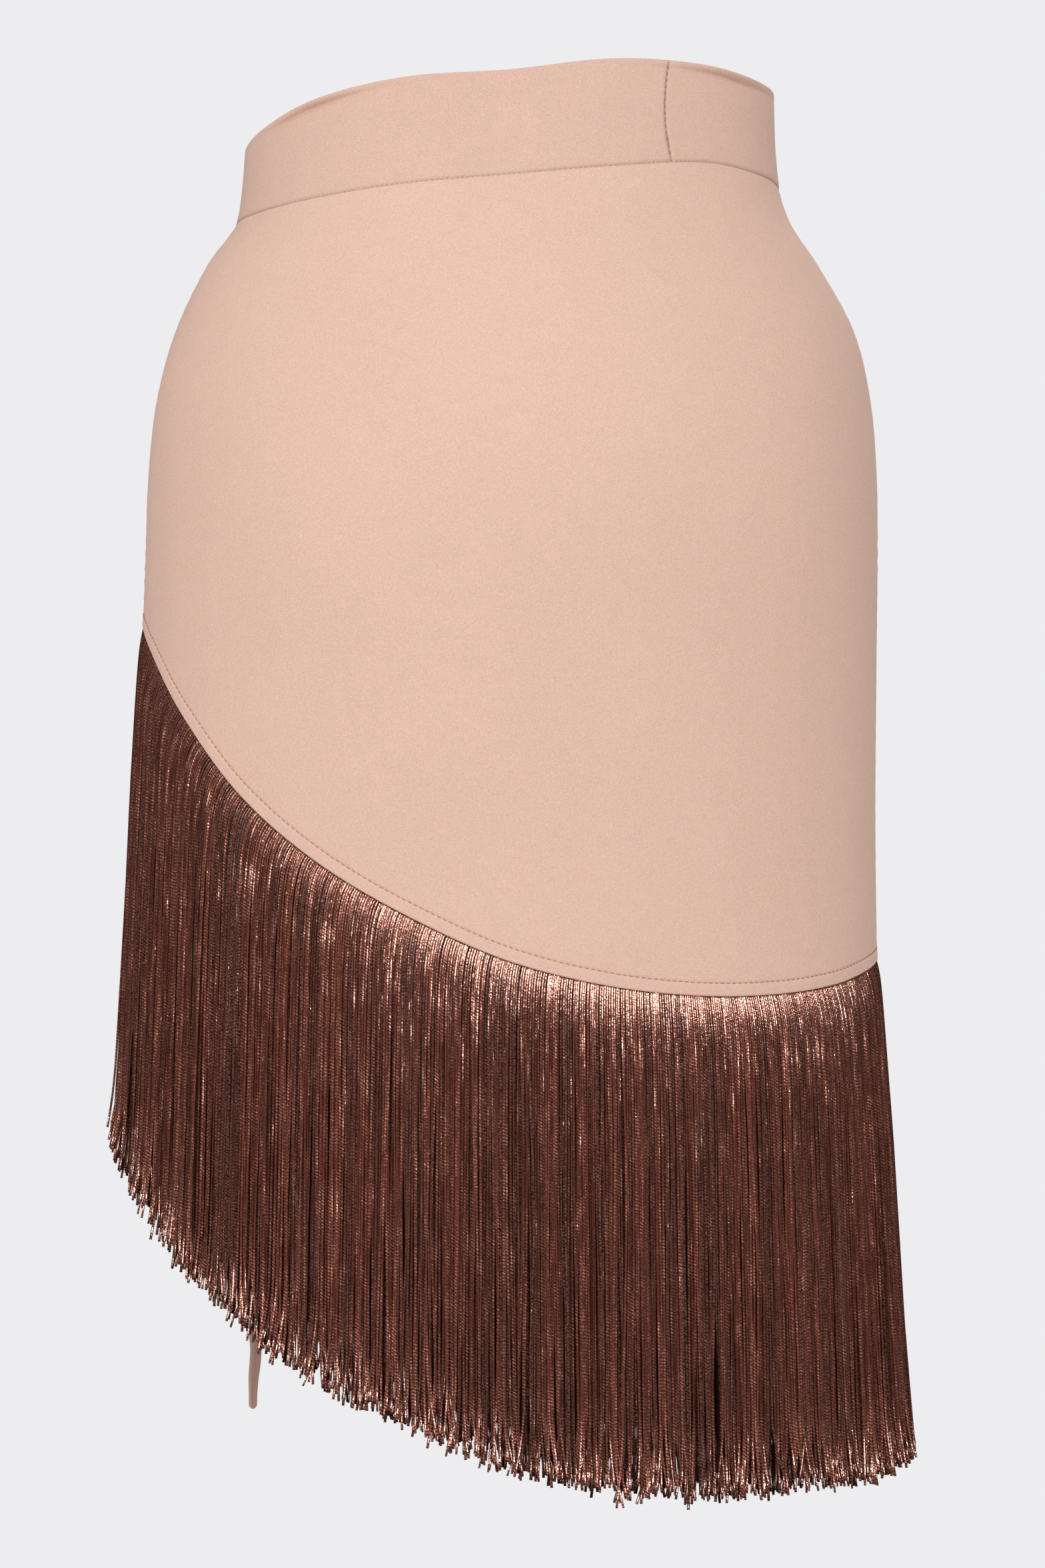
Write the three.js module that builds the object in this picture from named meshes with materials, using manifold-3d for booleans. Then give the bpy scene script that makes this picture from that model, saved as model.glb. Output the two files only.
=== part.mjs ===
// A fitted, knee-length dance skirt of stretch cloth in its worn shape. Cord fringe hangs all round from
// its slanted hem.
//
// Millimetres, +Z up. The origin is the middle of the waist, where the skirt is held up. -Y is the back of
// the skirt, +Y its front, and -X the side where the hem is highest. A place on the cloth is a turn and a
// height. The turn is in degrees round the skirt: 0 at the -X side seam, 90 at the middle of the back, 180
// at the +X side seam and 270 at the middle of the front.
//
// Pieces: two lengths of waistband, a back and a front panel, a length of fringe on each panel, and a
// narrow tie.

import * as THREE from "three";
import { mergeVertices } from "three/addons/utils/BufferGeometryUtils.js";
import Module from "manifold-3d";

const wasm = await Module();
wasm.setup();

// Outline of the worn cloth at each height: half its width, how far its middle stands towards +X,
// and its depth from the side seams to the back (-Y) and to the front (+Y).
const SECTIONS = [
  { z: -400, half: 176.5, shift: 0, back: 117, front: 107 },
  { z: -320, half: 175.5, shift: 0, back: 120, front: 106 },
  { z: -240, half: 176, shift: 0, back: 127, front: 106 },
  { z: -190, half: 175.5, shift: 1, back: 131, front: 106 },
  { z: -150, half: 174.5, shift: 1.5, back: 129, front: 106 },
  { z: -115, half: 171, shift: 2, back: 122, front: 105 },
  { z: -82, half: 162.5, shift: 2.5, back: 112, front: 103 },
  { z: -50, half: 146, shift: 1.5, back: 101, front: 100 },
  { z: -32, half: 133.5, shift: 2, back: 95, front: 97 },
  { z: -15, half: 128.5, shift: 1, back: 90, front: 95 },
  { z: 10, half: 126.5, shift: 0, back: 86, front: 93 },
  { z: 45, half: 127, shift: 0, back: 85, front: 92 },
];

// Heights of the waistband's folded top edge and of the seam under it, all round and a little further.
const WAIST_EDGES = [
  { turn: -45, top: 3, seam: -37 },
  { turn: 0, top: 4, seam: -31 },
  { turn: 22.5, top: 11, seam: -29 },
  { turn: 45, top: 22, seam: -25 },
  { turn: 67.5, top: 29.5, seam: -20.5 },
  { turn: 90, top: 32, seam: -17 },
  { turn: 112.5, top: 38, seam: -12 },
  { turn: 135, top: 38, seam: -8 },
  { turn: 157.5, top: 34, seam: -10.5 },
  { turn: 180, top: 31, seam: -14 },
  { turn: 225, top: 24, seam: -21 },
  { turn: 270, top: 12, seam: -32 },
  { turn: 315, top: 3, seam: -37 },
  { turn: 360, top: 4, seam: -31 },
  { turn: 382.5, top: 11, seam: -29 },
];

// Height of the hem from one side seam to the other, the same on the back and on the front, and how far
// the fringe hangs below it. The first and last rows repeat it past the side seams, where it is level.
const HEM = [
  { turn: -15, z: -236, drop: 241 },
  { turn: 0, z: -223, drop: 243 },
  { turn: 15, z: -236, drop: 241 },
  { turn: 30, z: -268, drop: 236 },
  { turn: 45, z: -305, drop: 233 },
  { turn: 60, z: -335.5, drop: 230 },
  { turn: 75, z: -360, drop: 229 },
  { turn: 90, z: -380, drop: 230 },
  { turn: 105, z: -391.5, drop: 230 },
  { turn: 120, z: -396.5, drop: 229 },
  { turn: 135, z: -396.5, drop: 229 },
  { turn: 150, z: -393, drop: 231 },
  { turn: 165, z: -387, drop: 233 },
  { turn: 180, z: -383, drop: 235 },
  { turn: 195, z: -387, drop: 233 },
];

const JOIN_TURN = 126; // where the ends of the waistband are joined
const SEAM_GAP = 0.4; // between sewn pieces
const SIDE_GAP_TURN = 0.1; // half the gap at a side seam or band join, in degrees

const CLOTH = 1.2; // one layer of cloth, with the body of its knit
const BAND = { out: 0.4, thick: 2.1, roll: 1.4 }; // a doubled band, its rolled top edge
const HEM_FOLD = { height: 6.2, step: 0.6, out: 0.3, thick: 2.4 }; // the cloth turned up inside

const HEADER = { gap: 0.3, thick: 1.4, above: 5, below: 3 }; // the fringe's woven header tape
const FRINGE = {
  locks: 120, // on each panel
  seamInset: 0.4, // degrees from a side seam to the first lock's share of the hem
  uneven: 2, // how much further or less far a lock hangs than the hem's table says
  root: 1.8, // from the hem's edge to the locks' root
  bend: 9, // length over which a lock turns from square to the hem to straight down
  bulgeOver: 10, // length over which the locks come out from behind the hem
  width: 2.8,
  depth: 2.3,
  rootSize: 0.45, // of that section, inside the header tape
};
// How far the locks come out from behind the hem, and how far they lean outwards for each millimetre down,
// from side seam to side seam and the same on both sides.
const SWING = [
  { turn: 0, bulge: 2.2, lean: 0.062 },
  { turn: 30, bulge: 4.2, lean: 0.051 },
  { turn: 60, bulge: 6.3, lean: 0.047 },
  { turn: 90, bulge: 6.6, lean: 0.047 },
  { turn: 120, bulge: 6.6, lean: 0.05 },
  { turn: 150, bulge: 5.2, lean: 0.062 },
  { turn: 180, bulge: 3.6, lean: 0.074 },
];
const LOCK_STEPS = [0, 6, 22]; // along a lock from its root, before its end

// The tie's section and, from above, how far its flat face is turned from +Y towards -X.
const TIE = { width: 6, thick: 2.6, sides: 8, facing: 29.5, steps: 44 };
// The tie's middle line, from the waist seam over the hip and down outside the fringe.
const TIE_ROUTE = [
  [-91.8, 73.6, -37.5],
  [-95.2, 74.6, -43.3],
  [-98.7, 75.5, -50.7],
  [-102.7, 76.6, -62.2],
  [-106.6, 77.5, -75.2],
  [-110.4, 78.4, -90.4],
  [-113.7, 79.2, -108.5],
  [-116.3, 79.8, -130.5],
  [-117.8, 80.2, -155],
  [-118.7, 80.3, -185],
  [-119.7, 80.4, -220],
  [-120.1, 80.6, -255],
  [-120.4, 81.2, -285],
  [-121.2, 83, -310],
  [-122.4, 85.4, -335],
  [-123.4, 87.2, -365],
  [-124.4, 89.2, -405],
  [-125.4, 91, -450],
  [-126.4, 92.8, -495],
  [-127.3, 94.6, -540],
  [-127.8, 95.6, -575],
  [-128, 96, -611],
];

const PANEL_STEPS = { round: 36, down: 13 };
const BAND_STEPS = { degreesRound: 5, down: 3 };

const radians = THREE.MathUtils.degToRad;
const DOWN = new THREE.Vector3(0, 0, -1);
const PLAN_HEIGHT = -300; // where the width that the locks share is measured
const WELD = 1e-4; // points nearer than this are one

// The value of a table's column at a place, on a smooth curve through its rows.
function along(rows, key, column, place) {
  const last = rows.length - 1;
  const at = THREE.MathUtils.clamp(place, rows[0][key], rows[last][key]);
  let i = 0;
  while (i < last - 1 && rows[i + 1][key] < at) i += 1;
  const slope = (k) => {
    const a = rows[Math.max(k - 1, 0)];
    const b = rows[Math.min(k + 1, last)];
    return (b[column] - a[column]) / (b[key] - a[key]);
  };
  const span = rows[i + 1][key] - rows[i][key];
  const t = (at - rows[i][key]) / span;
  const rise = rows[i + 1][column] - rows[i][column];
  const m0 = slope(i) * span;
  const m1 = slope(i + 1) * span;
  return rows[i][column] + t * m0 + t * t * (3 * rise - 2 * m0 - m1) + t * t * t * (m0 + m1 - 2 * rise);
}

// The height, where the hem slants, that a millimetre square to it takes up.
function hemStretch(turn) {
  const [before, after] = [turn - 0.5, turn + 0.5];
  const round = skin(after, hem(turn)).distanceTo(skin(before, hem(turn)));
  return Math.hypot(1, (hem(after) - hem(before)) / round);
}

const topEdge = (turn) => along(WAIST_EDGES, "turn", "top", turn);
const waistSeam = (turn) => along(WAIST_EDGES, "turn", "seam", turn);
// A column of a table that is the same on the back and the front.
const sideColumn = (rows, column, turn) => along(rows, "turn", column, turn <= 180 ? turn : 360 - turn);
const hem = (turn) => sideColumn(HEM, "z", turn);

// A point of the worn cloth's outer face.
function skin(turn, z) {
  const angle = radians(turn);
  const depth = along(SECTIONS, "z", Math.sin(angle) > 0 ? "back" : "front", z);
  const x = along(SECTIONS, "z", "shift", z) - along(SECTIONS, "z", "half", z) * Math.cos(angle);
  return new THREE.Vector3(x, -depth * Math.sin(angle), z);
}

// The outward direction of the cloth there.
function outward(turn, z) {
  const round = skin(turn + 0.5, z).sub(skin(turn - 0.5, z));
  const up = skin(turn, z + 1).sub(skin(turn, z - 1));
  return round.cross(up).normalize();
}

const offset = (turn, z, out) => skin(turn, z).addScaledVector(outward(turn, z), out);

// A closed surface through rings of points, joined in order. Each end is capped across its ring.
function sweep(rings) {
  const count = rings[0].length;
  const points = rings.flat();
  const faces = [];
  for (let r = 0; r < rings.length - 1; r += 1)
    for (let i = 0; i < count; i += 1) {
      const j = (i + 1) % count;
      const [a, b] = [r * count + i, r * count + j];
      faces.push(a, b, b + count, a, b + count, a + count);
    }
  const end = (rings.length - 1) * count;
  for (let i = 0; i < (count - 1) / 2; i += 1) {
    const back = count - 1 - i;
    faces.push(i, back, i + 1, end + i, end + i + 1, end + back);
    if (back - 1 > i + 1) faces.push(i + 1, back, back - 1, end + i + 1, end + back - 1, end + back);
  }
  const geometry = new THREE.BufferGeometry().setFromPoints(points);
  geometry.setIndex(faces);
  return geometry;
}

// A wall of cloth from one seam to another, each given by its turn, just clear of both.
// levels gives, at a turn, its rows from the top down as { z, out, thick }.
function wall(fromTurn, toTurn, steps, levels) {
  const rings = [];
  for (let i = 0; i <= steps; i += 1) {
    const turn = THREE.MathUtils.lerp(fromTurn + SIDE_GAP_TURN, toTurn - SIDE_GAP_TURN, i / steps);
    const rows = levels(turn);
    const outer = rows.map((row) => offset(turn, row.z, row.out));
    const inner = rows.map((row) => offset(turn, row.z, row.out - row.thick));
    rings.push([...outer, ...inner.reverse()]);
  }
  return sweep(rings);
}

// Rows of a panel: evenly down from the waist seam, then a small step into the turned-up hem.
function panelRows(turn) {
  const top = waistSeam(turn) - SEAM_GAP / 2;
  const fold = hem(turn) + HEM_FOLD.height * hemStretch(turn);
  const rows = [];
  for (let i = 0; i <= PANEL_STEPS.down; i += 1) {
    const z = THREE.MathUtils.lerp(top, fold + HEM_FOLD.step, i / PANEL_STEPS.down);
    rows.push({ z, out: 0, thick: CLOTH });
  }
  rows.push({ z: fold, out: HEM_FOLD.out, thick: HEM_FOLD.thick });
  rows.push({ z: hem(turn), out: HEM_FOLD.out, thick: HEM_FOLD.thick });
  return rows;
}

function panel(fromTurn, toTurn) {
  return wall(fromTurn, toTurn, PANEL_STEPS.round, panelRows);
}

// Rows of the waistband, whose top edge is a rolled fold.
function bandRows(turn) {
  const top = topEdge(turn);
  const bottom = waistSeam(turn) + SEAM_GAP / 2;
  const rows = [{ z: top, out: BAND.out - BAND.thick / 4, thick: BAND.thick / 2 }];
  for (let i = 0; i <= BAND_STEPS.down; i += 1) {
    const z = THREE.MathUtils.lerp(top - BAND.roll, bottom, i / BAND_STEPS.down);
    rows.push({ z, out: BAND.out, thick: BAND.thick });
  }
  return rows;
}

function band(fromTurn, toTurn) {
  const steps = Math.ceil((toTurn - fromTurn) / BAND_STEPS.degreesRound);
  return wall(fromTurn, toTurn, steps, bandRows);
}

// The hem's edge at a turn, with the directions out of the cloth and, in the cloth, down square to the hem.
function hemFrame(turn) {
  const edge = skin(turn, hem(turn));
  const forward = skin(turn + 0.5, hem(turn + 0.5)).sub(skin(turn - 0.5, hem(turn - 0.5)));
  const out = outward(turn, hem(turn));
  const down = new THREE.Vector3().crossVectors(forward, out).normalize();
  return { edge, out, down };
}

// Rows of the header tape, a strip just behind the hem, from inside the fold to a little below the edge.
function headerRows(turn) {
  const out = HEM_FOLD.out - HEM_FOLD.thick - HEADER.gap;
  const top = hem(turn) + HEADER.above * hemStretch(turn);
  const bottom = hem(turn) - HEADER.below * hemStretch(turn);
  return [
    { z: top, out, thick: HEADER.thick },
    { z: bottom, out, thick: HEADER.thick },
  ];
}

// Turns that divide the panel's width, seen from above, into equal parts, each taken at its middle.
function evenTurns(fromTurn, toTurn, parts) {
  const samples = 720; // fine enough for even parts
  const lengths = [0];
  const plan = (k) => skin(THREE.MathUtils.lerp(fromTurn, toTurn, k / samples), PLAN_HEIGHT);
  for (let k = 1; k <= samples; k += 1) lengths.push(lengths[k - 1] + plan(k).distanceTo(plan(k - 1)));
  const turns = [];
  let k = 0;
  for (let i = 0; i < parts; i += 1) {
    const wanted = ((i + 0.5) / parts) * lengths[samples];
    while (lengths[k + 1] < wanted) k += 1;
    const part = (wanted - lengths[k]) / (lengths[k + 1] - lengths[k]);
    turns.push(THREE.MathUtils.lerp(fromTurn, toTurn, (k + part) / samples));
  }
  return turns;
}

// A repeatable number from -1 to 1 for each lock.
const vary = (i) => Math.sin(i * 12.9898) * Math.cos(i * 4.1414);

// One lock of fringe, three-sided with its flat face out, from inside the header tape to its cut end.
function lock(turn, index) {
  const { edge, out, down } = hemFrame(turn);
  const level = out.clone().setZ(0).normalize();
  const side = new THREE.Vector3().crossVectors(DOWN, level);
  const inside = HEM_FOLD.out - HEM_FOLD.thick - HEADER.gap - HEADER.thick / 2;
  const slant = FRINGE.bend * (1 + down.z) + FRINGE.root * down.z;
  const length = sideColumn(HEM, "drop", turn) + slant + FRINGE.uneven * vary(index);
  const bulge = sideColumn(SWING, "bulge", turn);
  const lean = sideColumn(SWING, "lean", turn);
  const rings = [...LOCK_STEPS, length].map((s) => {
    const square = FRINGE.bend * (1 - Math.exp(-s / FRINGE.bend));
    const far = inside + bulge * (1 - Math.exp(-s / FRINGE.bulgeOver)) + lean * s;
    const centre = edge
      .clone()
      .addScaledVector(down, FRINGE.root + square)
      .addScaledVector(DOWN, s - square)
      .addScaledVector(level, far);
    const size = s === 0 ? FRINGE.rootSize : 1;
    const across = side.clone().multiplyScalar((size * FRINGE.width) / 2);
    const face = centre.clone().addScaledVector(level, (size * FRINGE.depth) / 3);
    const back = centre.clone().addScaledVector(level, (-2 * size * FRINGE.depth) / 3);
    return [face.clone().sub(across), face.add(across), back];
  });
  return sweep(rings);
}

// A geometry as a solid that can be joined, turned inside out if its faces point inwards.
function solid(geometry) {
  const merged = mergeVertices(geometry, WELD);
  const triVerts = new Uint32Array(merged.index.array);
  const vertProperties = merged.attributes.position.array;
  const make = () => new wasm.Manifold(new wasm.Mesh({ numProp: 3, vertProperties, triVerts }));
  const made = make();
  if (made.volume() > 0) return made;
  triVerts.reverse();
  return make();
}

function geometryOf(made) {
  const mesh = made.getMesh();
  const geometry = new THREE.BufferGeometry();
  geometry.setAttribute("position", new THREE.BufferAttribute(mesh.vertProperties, 3));
  geometry.setIndex(new THREE.BufferAttribute(mesh.triVerts, 1));
  geometry.computeVertexNormals();
  return geometry;
}

function fringe(fromTurn, toTurn) {
  let joined = solid(wall(fromTurn, toTurn, PANEL_STEPS.round, headerRows));
  const turns = evenTurns(fromTurn + FRINGE.seamInset, toTurn - FRINGE.seamInset, FRINGE.locks);
  turns.forEach((turn, i) => {
    joined = joined.add(solid(lock(turn, i)));
  });
  return joined;
}

// The tie: a flattened tube of cloth that hangs from the waist seam.
function tie() {
  const corners = [];
  for (let i = 0; i < TIE.sides; i += 1) {
    const angle = ((i + 0.5) / TIE.sides) * 2 * Math.PI;
    const corner = new THREE.Vector2((TIE.thick / 2) * Math.sin(angle), (TIE.width / 2) * Math.cos(angle));
    corners.push(corner.rotateAround(new THREE.Vector2(), -radians(TIE.facing)));
  }
  const extrudePath = new THREE.CatmullRomCurve3(TIE_ROUTE.map((p) => new THREE.Vector3(...p)));
  const geometry = new THREE.ExtrudeGeometry(new THREE.Shape(corners), { steps: TIE.steps, extrudePath });
  geometry.deleteAttribute("normal");
  geometry.deleteAttribute("uv");
  return solid(geometry);
}

const cloth = new THREE.MeshStandardMaterial({ color: 0xe3bfae, roughness: 0.85, metalness: 0 });
const bandCloth = new THREE.MeshStandardMaterial({ color: 0xe0bba9, roughness: 0.85, metalness: 0 });
const cord = new THREE.MeshStandardMaterial({ color: 0x5a3229, roughness: 0.45, metalness: 0.1 });

const skirt = new THREE.Group();

function place(name, made, material) {
  const mesh = new THREE.Mesh(geometryOf(made), material);
  mesh.name = name;
  skirt.add(mesh);
}

place("waistband_back", solid(band(0, JOIN_TURN)), bandCloth);
place("waistband_front", solid(band(JOIN_TURN, 360)), bandCloth);
place("back_panel", solid(panel(0, 180)), cloth);
place("front_panel", solid(panel(180, 360)), cloth);
place("fringe_back", fringe(0, 180), cord);
place("fringe_front", fringe(180, 360), cord);
place("tie", tie(), cloth);

export default skirt;
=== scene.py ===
import math

import bpy
import numpy as np
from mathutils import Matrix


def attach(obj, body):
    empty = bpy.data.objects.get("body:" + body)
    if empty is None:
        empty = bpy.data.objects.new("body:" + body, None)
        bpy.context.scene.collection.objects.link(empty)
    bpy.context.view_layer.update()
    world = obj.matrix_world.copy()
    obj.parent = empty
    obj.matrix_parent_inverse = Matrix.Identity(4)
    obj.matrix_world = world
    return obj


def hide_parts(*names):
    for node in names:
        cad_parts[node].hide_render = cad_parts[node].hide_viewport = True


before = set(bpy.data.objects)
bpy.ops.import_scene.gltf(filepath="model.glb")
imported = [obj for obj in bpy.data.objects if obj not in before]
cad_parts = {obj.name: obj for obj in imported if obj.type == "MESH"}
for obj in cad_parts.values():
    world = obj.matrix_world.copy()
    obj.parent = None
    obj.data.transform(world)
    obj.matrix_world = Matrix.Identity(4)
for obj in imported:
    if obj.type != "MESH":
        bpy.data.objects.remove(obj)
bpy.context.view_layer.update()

# Sizes are in millimetres, in the frame of the model, and become metres when a mesh or object is made.
MM = 0.001
rng = np.random.default_rng(7)


# Outline of the worn cloth, waist edges and hem


def table(columns, rows):
    """A short table as one array for each named column."""
    return {name: np.array(values, float) for name, values in zip(columns, zip(*rows))}


# Half the width at each height, how far its middle stands towards +X, and the depth to the back (-Y) and
# to the front.
SECTIONS = table(("z", "half", "shift", "back", "front"), [
    (-400, 176.5, 0, 117, 107),
    (-320, 175.5, 0, 120, 106),
    (-240, 176, 0, 127, 106),
    (-190, 175.5, 1, 131, 106),
    (-150, 174.5, 1.5, 129, 106),
    (-115, 171, 2, 122, 105),
    (-82, 162.5, 2.5, 112, 103),
    (-50, 146, 1.5, 101, 100),
    (-32, 133.5, 2, 95, 97),
    (-15, 128.5, 1, 90, 95),
    (10, 126.5, 0, 86, 93),
    (45, 127, 0, 85, 92),
])

# A turn is in degrees round the skirt: 0 at the -X side seam, 90 at the middle of the back.
WAIST_EDGES = table(("turn", "top", "seam"), [
    (-45, 3, -37),
    (0, 4, -31),
    (22.5, 11, -29),
    (45, 22, -25),
    (67.5, 29.5, -20.5),
    (90, 32, -17),
    (112.5, 38, -12),
    (135, 38, -8),
    (157.5, 34, -10.5),
    (180, 31, -14),
    (225, 24, -21),
    (270, 12, -32),
    (315, 3, -37),
    (360, 4, -31),
    (382.5, 11, -29),
])

# Height of the hem from side seam to side seam, the same on the back and the front, and how far the fringe
# hangs below it.
HEM = table(("turn", "z", "drop"), [
    (-15, -236, 241),
    (0, -223, 243),
    (15, -236, 241),
    (30, -268, 235.5),
    (45, -305, 232.5),
    (60, -335.5, 232),
    (75, -360, 229),
    (90, -380, 230),
    (105, -391.5, 230),
    (120, -396.5, 229),
    (135, -396.5, 229),
    (150, -393, 231),
    (165, -387, 234),
    (180, -383, 236),
    (195, -387, 233),
])

# How far the fringe comes out from behind the hem and over what length, and how far it leans out for each
# millimetre down.
SWING = table(("turn", "bulge", "over", "lean"), [
    (0, 2.0, 9, 0.045),
    (30, 4.6, 13, 0.043),
    (60, 7.0, 17, 0.041),
    (90, 7.6, 17, 0.040),
    (120, 7.4, 17, 0.041),
    (150, 5.6, 14, 0.051),
    (180, 1.6, 6, 0.062),
])

TURN_STEP = 0.5  # degrees to each side over which a slope round the skirt is taken
PANEL_LEVEL = -250.0  # height at which the stations of a panel stand evenly apart
FRINGE_LEVEL = -300.0  # height at which the strands stand evenly apart


def along(rows, key, column, place):
    """A column's value at a place, on a smooth curve through the rows."""
    x, y = rows[key], rows[column]
    before = np.maximum(np.arange(len(x)) - 1, 0)
    after = np.minimum(np.arange(len(x)) + 1, len(x) - 1)
    slope = (y[after] - y[before]) / (x[after] - x[before])
    at = np.clip(place, x[0], x[-1])
    i = np.clip(np.searchsorted(x, at) - 1, 0, len(x) - 2)
    span, rise = x[i + 1] - x[i], y[i + 1] - y[i]
    t, m0, m1 = (at - x[i]) / span, slope[i] * span, slope[i + 1] * span
    return y[i] + t * m0 + t * t * (3 * rise - 2 * m0 - m1) + t ** 3 * (m0 + m1 - 2 * rise)


def top_edge(turn):
    return along(WAIST_EDGES, "turn", "top", turn)


def waist_seam(turn):
    return along(WAIST_EDGES, "turn", "seam", turn)


def side_column(rows, column, turn):
    """A column of a table that is the same on the back and the front."""
    return along(rows, "turn", column, np.where(turn <= 180, turn, 360 - turn))


def hem(turn):
    return side_column(HEM, "z", turn)


def skin(turn, z):
    """Points of the worn cloth's outer face."""
    turn, z = np.broadcast_arrays(np.asarray(turn, float), np.asarray(z, float))
    angle = np.radians(turn)
    back, front = along(SECTIONS, "z", "back", z), along(SECTIONS, "z", "front", z)
    depth = np.where(np.sin(angle) > 0, back, front)
    x = along(SECTIONS, "z", "shift", z) - along(SECTIONS, "z", "half", z) * np.cos(angle)
    return np.stack([x, -depth * np.sin(angle), z], axis=-1)


def unit(v):
    return v / np.linalg.norm(v, axis=-1, keepdims=True)


def outward(turn, z):
    """The outward direction of the cloth at those points."""
    round_it = skin(turn + TURN_STEP, z) - skin(turn - TURN_STEP, z)
    up = skin(turn, z + 1) - skin(turn, z - 1)
    return unit(np.cross(round_it, up))


def offset(turn, z, out):
    return skin(turn, z) + outward(turn, z) * np.asarray(out)[..., None]


def hem_stretch(turn):
    """The height that a millimetre square to the slanted hem takes up."""
    edge = hem(turn)
    before, after = turn - TURN_STEP, turn + TURN_STEP
    round_it = np.linalg.norm(skin(after, edge) - skin(before, edge), axis=-1)
    return np.hypot(1, (hem(after) - hem(before)) / round_it)


def lengths_along(points):
    """The distance to each point of a line from its first."""
    return np.concatenate([[0], np.cumsum(np.linalg.norm(np.diff(points, axis=0), axis=1))])


def even_turns(start, end, parts, height):
    """Turns that divide the width at a height, seen from above, into equal parts."""
    samples = np.linspace(start, end, 1500)
    lengths = lengths_along(skin(samples, height))
    return np.interp(np.linspace(0, lengths[-1], parts + 1), lengths, samples)


def bump(distance, width):
    """1 at no distance, falling smoothly to 0 over about the width."""
    return np.exp(-(distance / width) ** 2)


def ease(x, low, high):
    """0 below low, 1 above high, and smooth between."""
    t = np.clip((x - low) / (high - low), 0, 1)
    return t * t * (3 - 2 * t)


# Meshes from arrays


def make_mesh(name, points, faces, material):
    """A mesh object from points in millimetres and arrays of faces, turned so that its faces point out."""
    fans = [f[:, [0, k, k + 1]] for f in faces for k in range(1, f.shape[1] - 1)]
    a, b, c = (points[np.concatenate(fans)[:, k]] for k in range(3))
    if np.einsum("ij,ij->", a, np.cross(b, c)) < 0:
        faces = [f[:, ::-1] for f in faces]
    sizes = np.concatenate([np.full(len(f), f.shape[1]) for f in faces])
    corners = np.concatenate([f.ravel() for f in faces])
    mesh = bpy.data.meshes.new(name)
    mesh.vertices.add(len(points))
    mesh.vertices.foreach_set("co", (points * MM).astype(np.float32).ravel())
    mesh.loops.add(len(corners))
    mesh.loops.foreach_set("vertex_index", corners.astype(np.int32))
    mesh.polygons.add(len(sizes))
    starts = np.concatenate([[0], np.cumsum(sizes)[:-1]])
    mesh.polygons.foreach_set("loop_start", starts.astype(np.int32))
    mesh.polygons.foreach_set("use_smooth", np.ones(len(sizes), bool))
    mesh.update(calc_edges=True)
    mesh.validate()
    mesh.materials.append(material)
    obj = bpy.data.objects.new(name, mesh)
    bpy.context.scene.collection.objects.link(obj)
    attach(obj, "root")
    return obj


def grid_faces(rows, columns, wrap=False):
    """Faces of a grid of points, rows by columns, with its last column joined to its first if it wraps."""
    r = np.arange(rows - 1)[:, None]
    c = np.arange(columns if wrap else columns - 1)[None, :]
    d = (c + 1) % columns
    a, b = r * columns + c, r * columns + d
    return np.stack([a, b, b + columns, a + columns], axis=-1).reshape(-1, 4)


def shell(name, outer, inner, material):
    """A closed wall between two grids of points, each of stations along it by points down it."""
    profile = np.concatenate([outer, inner[:, ::-1]], axis=1)
    stations, around = profile.shape[:2]
    sides = grid_faces(stations, around, wrap=True)
    k = np.arange(around // 2 - 1)
    cap = np.stack([k, k + 1, around - 2 - k, around - 1 - k], axis=-1)
    last = cap[:, ::-1] + (stations - 1) * around
    return make_mesh(name, profile.reshape(-1, 3), [np.concatenate([sides, cap, last])], material)


def ring_angles(sides):
    return (np.arange(sides) + 0.5) / sides * 2 * math.pi


def tubes(name, centres, across, out, width, depth, sides, material):
    """Closed tubes. centres, across and out are strands by rings by 3, and width and depth are half sizes."""
    strands, rings = centres.shape[:2]
    angles = ring_angles(sides)
    ring = (
        centres[:, :, None, :]
        + across[:, :, None, :] * np.cos(angles)[:, None] * width[..., None, None]
        + out[:, :, None, :] * np.sin(angles)[:, None] * depth[..., None, None]
    )
    first = (np.arange(strands) * rings * sides)[:, None, None]
    walls = (grid_faces(rings, sides, wrap=True)[None] + first).reshape(-1, 4)
    cap = np.arange(sides)[None, None, :]
    ends = np.concatenate([cap + first, cap[..., ::-1] + first + (rings - 1) * sides]).reshape(-1, sides)
    return make_mesh(name, ring.reshape(-1, 3), [walls, ends], material)


def mark_strands(obj, lengths, tones, sides):
    """What the yarn's material reads: the length down a strand and the place round it, and its tone, which is
    kept low in the deeper layers as painted shade.
    """
    strands, rings = lengths.shape
    angles = ring_angles(sides)
    parts = (lengths[:, :, None], np.cos(angles), np.sin(angles))
    place = np.stack([np.broadcast_to(part, (strands, rings, sides)) for part in parts], axis=-1)
    layer = obj.data.attributes.new("strand", "FLOAT_VECTOR", "POINT")
    layer.data.foreach_set("vector", place.astype(np.float32).ravel())
    layer = obj.data.attributes.new("tone", "FLOAT", "POINT")
    layer.data.foreach_set("value", np.repeat(tones, rings * sides).astype(np.float32))


# Node helpers


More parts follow.
